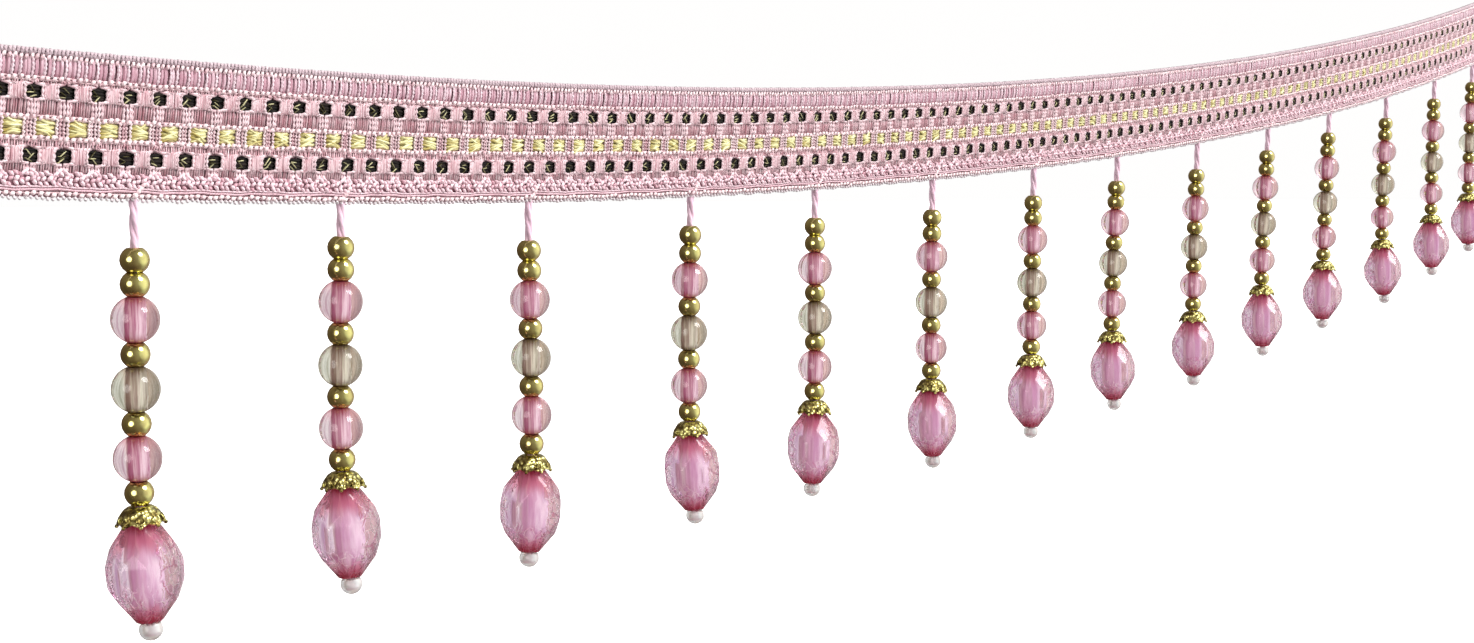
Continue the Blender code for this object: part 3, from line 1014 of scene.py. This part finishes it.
def gold_finish(name, dull, bright, roughness):
    """Lacquered gold plate that is a little worn and duller in cloudy patches."""
    warm = (0.85, 0.62, 0.52, 1.0)
    material, shade, place = new_finish(
        name, Metallic=1.0, Specular_Tint=warm, Coat_Weight=0.8, Coat_Roughness=0.08
    )
    clouds = shade.noise(place, 420.0, 3.0)
    scratches = shade.noise(place, 2600.0)
    colour = shade.blend(clouds.between(0.3, 0.7), dull, bright)
    bump = shade.bump(scratches + clouds, 0.35, 0.00003)
    rough = clouds * -0.12 + scratches * 0.08 + (roughness + 0.04)
    return feed(material, Base_Color=colour, Roughness=rough, Normal=bump)


polished_gold = gold_finish("polished_olive_gold", (0.48, 0.41, 0.14), (0.66, 0.62, 0.21), 0.13)
gold_bead = turned_bead("gold_bead", GOLD_HEIGHT, GOLD_RADIUS, 0.95, around=20, rings=10, rim=0.2)
gold_bead.data.materials.append(polished_gold)
thread_beads("beads", [(gold_bead, "gold", "small_beads", GOLD_HEIGHT, GOLD_PLACES)], 0.05)


# The round beads. Clear moulded beads, 8 mm across and 7.5 mm tall, faintly streaked, each lined with
# a pearly sleeve that the bead magnifies. The upper and lower ones are pink and rose red at their
# ends, and the one between them is smoke grey with a warm grey sleeve. Their coloured ends reach
# further in at the top, partly as painted shade from the bead above. Each sleeve has pale and deep
# sides, which are a painted glow and painted shade, and is turned so that the glow faces the camera.
ROUND_HEIGHT = 7.5
ROUND_RADIUS = 4.0
PINK_PLACES = (8.0, 31.0)
SMOKE_PLACES = (19.5,)
SLEEVE_HALF = ((0.0, 1.21), (2.0, 1.26), (3.20, 1.38), (3.66, 1.41))
BEAD_SLEEVE = [(-height, radius) for height, radius in SLEEVE_HALF[:0:-1]] + list(SLEEVE_HALF)
# turn of the sleeves, so their painted glow faces the camera: first drop, step per drop, wander
PAINTED_GLOW_FACING = (3.17, 0.0525, 0.6)
ACRYLIC_IOR = 1.49


def lines_down(shade, u, v, fineness):
    """Noise drawn out into lines down a piece, from the place around (u) and up (v) its wrap."""
    around = shade.sum("SINE", u * (2 * math.pi)) * fineness
    across = shade.sum("COSINE", u * (2 * math.pi)) * fineness
    down = shade.node("ShaderNodeCombineXYZ", {0: around, 1: across, 2: v})
    return shade.noise(down, 1.0)


def clear_finish(name, thin, thick, ends, roughness, clearness, fineness=0.0):
    """Clear moulded plastic: faint clouds or streaks, deeper colour at both ends that reaches further
    in at the top, on the round beads partly painted shade from the bead above, and a wavy skin.
    """
    material, shade, place = new_finish(
        name, Roughness=roughness, Transmission_Weight=clearness, IOR=ACRYLIC_IOR
    )
    u, v = shade.wrapping("wrap")
    clouds = shade.noise(place, 330.0)
    skin = lines_down(shade, u, v * 1.5 + clouds, fineness) if fineness else clouds
    middle = shade.blend(skin.between(0.35, 0.65), thin, thick)
    # The ends' colour reaches further in from the top than from the bottom: on the round beads that is
    # painted shade from the bead above.
    tip = shade.sum("ABSOLUTE", v * 2.0 - 0.92) + (clouds - 0.5) * 0.2
    colour = shade.blend(tip.between(0.25, 0.85), middle, ends)
    bump = shade.bump(skin, 0.5 if fineness else 0.12, 0.0001)
    return feed(material, Base_Color=colour, Normal=bump)


def core_finish(name, pale, deep, ends, middle_share):
    """Pearly cast colour: two pale and two deep sides, fine lines down it, and strong ends. On the
    round beads' sleeves the pale and deep sides are a painted glow and painted shade.
    """
    material, shade, place = new_finish(name)
    u, v = shade.wrapping("wrap")
    clouds = shade.noise(place, 300.0)
    lines = lines_down(shade, u, v * 1.2 + clouds * 0.8, 5.0)
    broad = shade.sum("SINE", u * (2 * math.pi * 2) + clouds * 2.0)
    narrow = shade.sum("SINE", u * (2 * math.pi * 6) + clouds * 1.5)
    stripes = broad * 0.32 + narrow * 0.28 + lines * 2.2 - 0.6
    sides = shade.blend(stripes.between(0.0, 1.0), pale, deep)
    tip = shade.sum("ABSOLUTE", v * 2.0 - 1.0) + (lines - 0.5) * 0.5
    colour = shade.blend(tip.between(middle_share, 1.0), sides, ends)
    return feed(material, Base_Color=colour, Roughness=clouds * 0.2 + 0.25)


def fluted_core(name, profile, flutes, depth, bore):
    """A bored fluted spindle from (height, radius) pairs in mm, top last."""
    turn = 2 * math.pi * np.arange(flutes * 4) / (flutes * 4)
    loops = [(height, radius * (1 + depth * np.cos(flutes * turn))) for height, radius in profile]
    loops += [(profile[-1][0], bore), (profile[0][0], bore)]
    rows = [np.stack([r * np.cos(turn), r * np.sin(turn), h + 0 * turn], axis=-1) for h, r in loops]
    index = np.arange(len(rows) * len(turn)).reshape(len(rows), -1)
    after = np.roll(index, -1, axis=1)
    faces = np.stack([index, after, np.roll(after, -1, axis=0), np.roll(index, -1, axis=0)], axis=-1)
    heights = np.array([height for height, _ in profile] + [profile[-1][0]] * 3)
    v = (heights - heights[0]) / (heights[-1] - heights[0])
    _, uvs = unwrapped(np.arange(len(turn) + 1) / len(turn), v)
    mesh = bpy.data.meshes.new(name)
    mesh.from_pydata((np.concatenate(rows) / 1000).tolist(), [], faces.reshape(-1, 4).tolist())
    mesh.uv_layers.new(name="wrap").data.foreach_set("uv", uvs.astype(np.float32).reshape(-1))
    core = show(name, mesh)
    choose(core)
    open_up()
    close_up()
    smooth(60)
    return core


ROUND_BEADS = {
    # tint: its places, and its colour where it is thin, where it is thick and at its ends
    "pink": (PINK_PLACES, (0.98, 0.88, 0.92), (0.66, 0.44, 0.53), (0.66, 0.27, 0.33)),
    "smoke": (SMOKE_PLACES, (0.90, 0.91, 0.81), (0.46, 0.46, 0.36), (0.30, 0.24, 0.17)),
}
SLEEVES = {
    # tint: the name of its finish, its pale side and deep side, which are a painted glow and painted
    # shade, its ends, and how much of it is middle
    "pink": ("pink_pearl_sleeve", (0.93, 0.85, 0.91), (0.54, 0.22, 0.38), (0.46, 0.09, 0.15), 0.40),
    "smoke": ("warm_grey_sleeve", (0.90, 0.87, 0.84), (0.44, 0.31, 0.32), (0.22, 0.13, 0.09), 0.45),
}
round_beads = []
for tint, (places, *colours) in ROUND_BEADS.items():
    bead = turned_bead(f"{tint}_bead", ROUND_HEIGHT, ROUND_RADIUS, 1.0, around=28, rings=16, rim=0.25)
    bead.data.uv_layers[0].name = "wrap"
    shell = clear_finish(f"clear_{tint}_bead", *colours, roughness=0.08, clearness=0.94, fineness=6.0)
    bead.data.materials.append(shell)
    sleeve = fluted_core(f"{tint}_sleeve", BEAD_SLEEVE, flutes=5, depth=0.05, bore=1.02)
    sleeve.data.materials.append(core_finish(*SLEEVES[tint]))
    choose(sleeve, bead)
    bpy.ops.object.join()
    round_beads.append((bead, tint, f"clear_{tint}", ROUND_HEIGHT, places))
thread_beads("beads", round_beads, 0.02, PAINTED_GLOW_FACING)


# The flower caps. A thin pressed brass cup with eight petals round the pendant's shoulder. Each petal
# has a raised eyelet and a grain at its tip, and a ring of grains stands round the top.
CAP_DROP = 42.8
CAP_HEIGHT = 3.6
CAP_WALL = 0.3
PETAL_DIP = 0.3
PETALS = 8
CAP_RINGS = (
    # radius, height below its top, share of the petals' shape
    (1.30, 0.40, 0.0),
    (2.00, 0.42, 0.0),
    (2.60, 0.80, 0.2),
    (3.05, 1.40, 0.5),
    (3.30, 2.10, 0.8),
    (3.50, 2.70, 1.0),
    (3.82, 3.05, 1.0),
)
GRAIN_RINGS = (
    # how many, ring radius, height below the cap's top, grain radius
    (12, 1.95, 0.42, 0.46),
    (8, 3.90, 2.85, 0.38),
)
EYELET_PLACE = (3.42, 0, -1.90)
EYELET_RADIUS = 0.66
EYELET_WIRE = 0.30
EYELET_TILT = math.radians(66)


def pressed_finish(name, hollow, raised):
    """Pressed and tarnished gold plate: bright raised grains with dark metal left between them."""
    material, shade, place = new_finish(name, Metallic=1.0)
    cells = shade.node("ShaderNodeTexVoronoi", {"Vector": place, "Scale": 1150.0})
    clouds = shade.noise(place, 700.0)
    height = 1.0 - cells + (clouds - 0.5) * 0.6
    colour = shade.blend(height.between(0.30, 0.75), hollow, raised)
    bump = shade.bump(height, 1.0, 0.00035)
    return feed(material, Base_Color=colour, Roughness=clouds * 0.2 + 0.18, Normal=bump)


aged_gold = pressed_finish("pressed_olive_gold", (0.22, 0.17, 0.05), (0.86, 0.82, 0.32))
bpy.ops.mesh.primitive_circle_add(vertices=PETALS * 4, radius=CAP_RINGS[0][0] / 1000)
cap = bpy.context.active_object
cap.name = "cap"
open_up()
for (inner, top, _), (outer, bottom, _) in zip(CAP_RINGS[:-1], CAP_RINGS[1:]):
    bpy.ops.mesh.extrude_region_move(TRANSFORM_OT_translate={"value": (0, 0, (top - bottom) / 1000)})
    bpy.ops.transform.resize(value=(outer / inner, outer / inner, 1), center_override=(0, 0, 0))
close_up()
for vert in cap.data.vertices:
    radius = vert.co.xy.length
    turn = math.atan2(vert.co.y, vert.co.x)
    share = np.interp(radius * 1000, [r for r, _, _ in CAP_RINGS], [s for _, _, s in CAP_RINGS])
    petal = abs(math.cos(PETALS / 2 * turn))
    vert.co.xy *= 1 + share * (0.18 * petal - 0.12)
    vert.co.z -= share * PETAL_DIP / 1000 * (petal - 0.6)
wall = cap.modifiers.new("wall", "SOLIDIFY")
wall.thickness = CAP_WALL / 1000
wall.offset = 0.0
bpy.ops.object.modifier_apply(modifier="wall")
smooth(50)
trimmings = []
for number in range(PETALS):
    bpy.ops.mesh.primitive_torus_add(
        major_segments=10,
        minor_segments=4,
        major_radius=EYELET_RADIUS / 1000,
        minor_radius=EYELET_WIRE / 1000,
    )
    eyelet = bpy.context.active_object
    turned = Matrix.Rotation(2 * math.pi * number / PETALS, 4, "Z")
    outward = Matrix.Translation([along / 1000 for along in EYELET_PLACE])
    eyelet.data.transform(turned @ outward @ Matrix.Rotation(EYELET_TILT, 4, "Y"))
    bpy.ops.object.shade_smooth()
    trimmings.append(eyelet)
for count, ring, below, size in GRAIN_RINGS:
    for number in range(count):
        turn = 2 * math.pi * number / count
        bpy.ops.mesh.primitive_uv_sphere_add(segments=6, ring_count=4, radius=size / 1000)
        grain = bpy.context.active_object
        place = (ring * math.cos(turn), ring * math.sin(turn), -below)
        grain.data.transform(Matrix.Translation(Vector(place) / 1000))
        bpy.ops.object.shade_smooth()
        trimmings.append(grain)
choose(*trimmings, cap)
bpy.ops.object.join()
cap.data.transform(Matrix.Translation((0, 0, CAP_HEIGHT / 2000)))
cap.data.materials.append(aged_gold)
thread_beads("cap", [(cap, "flower", "gold", CAP_HEIGHT, (CAP_DROP,))], 0.03)


# The pendants. A cut drop of cloudy rose plastic, 12.9 mm across: eight long facets round its belly,
# with smaller ones above and below them. It is bored from end to end, and has a fluted lilac core,
# rose red ends, and fine crazing whose pale and dark lines are a painted highlight and painted shade.
RIM_DROP = 46.4
PENDANT_MIDDLE = 7.5
PENDANT_FACETS = 8
PENDANT_RINGS = (
    # height below the cap's rim, radius, turned by half a facet
    (-1.3, 2.35, False),
    (0.0, 3.4, False),
    (3.0, 5.6, True),
    (5.8, 6.45, False),
    (9.2, 6.35, False),
    (12.2, 5.0, True),
    (15.8, 2.15, False),
)
PENDANT_BORE = 0.95
PENDANT_SLEEVE = (
    # height above the cap's rim, radius
    (-15.5, 1.55),
    (-14.6, 1.65),
    (-12.0, 1.85),
    (-9.0, 2.00),
    (-6.0, 2.05),
    (-3.0, 1.95),
    (-0.5, 1.75),
    (1.0, 1.65),
)
CLEAR_FACE = math.radians(-140)

bpy.ops.mesh.primitive_circle_add(vertices=PENDANT_FACETS, radius=0.001, location=(0, 0, 0))
pendant = bpy.context.active_object
pendant.name = "pendant"
open_up()
bpy.ops.mesh.delete(type="VERT")
for below, radius, half_turned in PENDANT_RINGS:
    bpy.ops.mesh.primitive_circle_add(
        vertices=PENDANT_FACETS, radius=radius / 1000, location=(0, 0, -below / 1000)
    )
    turn = 0.0 if half_turned else math.pi / PENDANT_FACETS
    bpy.ops.transform.rotate(value=turn, orient_axis="Z", center_override=(0, 0, 0))
bpy.ops.mesh.select_all(action="SELECT")
bpy.ops.mesh.convex_hull()
pick_faces(pendant, face_up)
bpy.ops.mesh.dissolve_faces()
top, bottom = -PENDANT_RINGS[0][0] / 1000, -PENDANT_RINGS[-1][0] / 1000
for end, thick in ((top, PENDANT_RINGS[0][1]), (bottom, PENDANT_RINGS[-1][1])):
    pick_faces(pendant, lambda face: abs(face.calc_center_median().z - end) < 1e-6)
    bpy.ops.mesh.inset(thickness=(thick - PENDANT_BORE) / 1000)
    bpy.ops.mesh.delete(type="FACE")
bridge_bore()
ease_edges(pendant, 0.35, 2, 8)
bpy.ops.object.shade_flat()

wrapped = pendant.data.uv_layers.active or pendant.data.uv_layers.new()
wrapped.name = "wrap"
wrap = wrapped.data
for face in pendant.data.polygons:
    middle = math.atan2(face.center.y, face.center.x)
    for corner in face.loop_indices:
        spot = pendant.data.vertices[pendant.data.loops[corner].vertex_index].co
        turn = math.atan2(spot.y, spot.x)
        turn += 2 * math.pi * round((middle - turn) / (2 * math.pi))
        wrap[corner].uv = (turn / (2 * math.pi), (spot.z - bottom) / (top - bottom))


def cracked_finish(name, thin, thick, ends, crack_highlight_shade):
    """Clear cast plastic: deeper ends, soft streaks, and crazing low down and at two of its sides. The
    crazing's pale and dark lines are a painted highlight and painted shade.
    """
    material, shade, place = new_finish(name, Transmission_Weight=0.92, IOR=ACRYLIC_IOR)
    u, v = shade.wrapping("wrap")
    streaks = lines_down(shade, u, v * 2.5, 4.5)
    clouds = shade.noise(place, 420.0)
    sockets = {0: place, 1: (1.0, 1.0, 0.6)}
    drawn_out = shade.node("ShaderNodeVectorMath", sockets, operation="MULTIPLY")
    sockets = {0: 0.0014, 6: drawn_out, 7: shade.noise(place, 700.0, out=1)}
    warped = shade.node("ShaderNodeMix", sockets, out=2, data_type="RGBA", blend_type="ADD")
    colour = shade.blend(streaks.between(0.35, 0.65), thin, thick)
    beside = shade.sum("COSINE", u * (4 * math.pi) - 2 * CLEAR_FACE) * -1.0 + (clouds - 0.5) * 1.2
    low = 1.0 - (v + (clouds - 0.5) * 0.4).between(0.22, 0.42)
    crazed = shade.sum("MAXIMUM", beside.between(-0.4, 0.3), low)
    lines = []
    for size in (590.0, 350.0):
        sockets = {"Vector": warped, "Scale": size}
        edge = shade.node("ShaderNodeTexVoronoi", sockets, feature="DISTANCE_TO_EDGE")
        lines.append((1.0 - edge.between(0.0, 0.09)) * crazed)
    # the crazing's lines: a painted highlight, then painted shade
    colour = shade.blend(lines[0] * 0.95, colour, crack_highlight_shade[0])
    colour = shade.blend(lines[1] * 0.85, colour, crack_highlight_shade[1])
    tip = shade.sum("ABSOLUTE", v * 2.0 - 0.94) + (streaks - 0.5) * 0.5
    colour = shade.blend(tip.between(0.40, 0.80), colour, ends)
    height = streaks * 0.3 + lines[0] * 0.6 + lines[1] * 0.6
    bump = shade.bump(height, 0.6, 0.00025)
    return feed(material, Base_Color=colour, Roughness=lines[0] * 0.30 + 0.12, Normal=bump)


pendant_rose = cracked_finish(
    "cracked_rose_pendant",
    (0.97, 0.82, 0.93),
    (0.64, 0.38, 0.58),
    (0.62, 0.17, 0.26),
    # the crazing's painted highlight and painted shade
    ((1.0, 0.97, 0.98), (0.50, 0.12, 0.30)),
)
pendant.data.materials.append(pendant_rose)
lilac_pearl = core_finish(
    "lilac_pearl_core", (0.99, 0.94, 1.0), (0.84, 0.64, 0.82), (0.52, 0.08, 0.15), 0.66
)
lilac_sleeve = fluted_core("lilac_core", PENDANT_SLEEVE, flutes=10, depth=0.04, bore=1.05)
lilac_sleeve.data.materials.append(lilac_pearl)
choose(lilac_sleeve, pendant)
bpy.ops.object.join()
for number, drop in enumerate(DROPS):
    node = f"pendant_{number + 1:02d}"
    middle = on_cord(number, drop[1] + RIM_DROP + PENDANT_MIDDLE)
    place = middle @ Matrix.Translation((0, 0, PENDANT_MIDDLE / 1000))
    fasten(copy_of(pendant, place, f"rose_{node}"), node)


# The stoppers. A small clear plastic ball with a broad flat top, glued on the cord's end so that it
# holds the pendant up.
STOPPER_DROP = 62.5
STOPPER_HEIGHT = 2.8
STOPPER_RADIUS = 2.0
STOPPER_SWELL = 1.887
STOPPER_LIP = 0.8

STOPPER_COLOURS = ((0.97, 0.98, 0.98), (0.88, 0.89, 0.89), (0.98, 0.97, 0.97))
clear_drop = clear_finish("clear_stopper", *STOPPER_COLOURS, roughness=0.16, clearness=0.68)
bpy.ops.mesh.primitive_uv_sphere_add(segments=20, ring_count=12, radius=STOPPER_RADIUS / 1000)
stopper = bpy.context.active_object
stopper.name = "stopper"
stopper.data.uv_layers[0].name = "wrap"
stopper.scale.z = STOPPER_SWELL / STOPPER_RADIUS
stopper.location.z = (STOPPER_SWELL - STOPPER_HEIGHT / 2) / 1000
bpy.ops.object.transform_apply(location=True, rotation=False, scale=True)
open_up()
cut_flat(STOPPER_HEIGHT / 2000, 1)
pick_faces(stopper, lambda face: face.calc_center_median().z > STOPPER_HEIGHT / 2000 - NEAR)
bpy.ops.mesh.inset(thickness=STOPPER_LIP / 1000)
bpy.ops.mesh.extrude_region_move(TRANSFORM_OT_translate={"value": (0, 0, -STOPPER_HEIGHT / 2000)})
bpy.ops.object.mode_set(mode="OBJECT")
smooth(40)
stopper.data.materials.append(clear_drop)
thread_beads("stopper", [(stopper, "clear", "clear", STOPPER_HEIGHT, (STOPPER_DROP,))], 0.05)

for model in (gold_bead, round_beads[0][0], round_beads[1][0], cap, pendant, stopper):
    bpy.data.objects.remove(model)
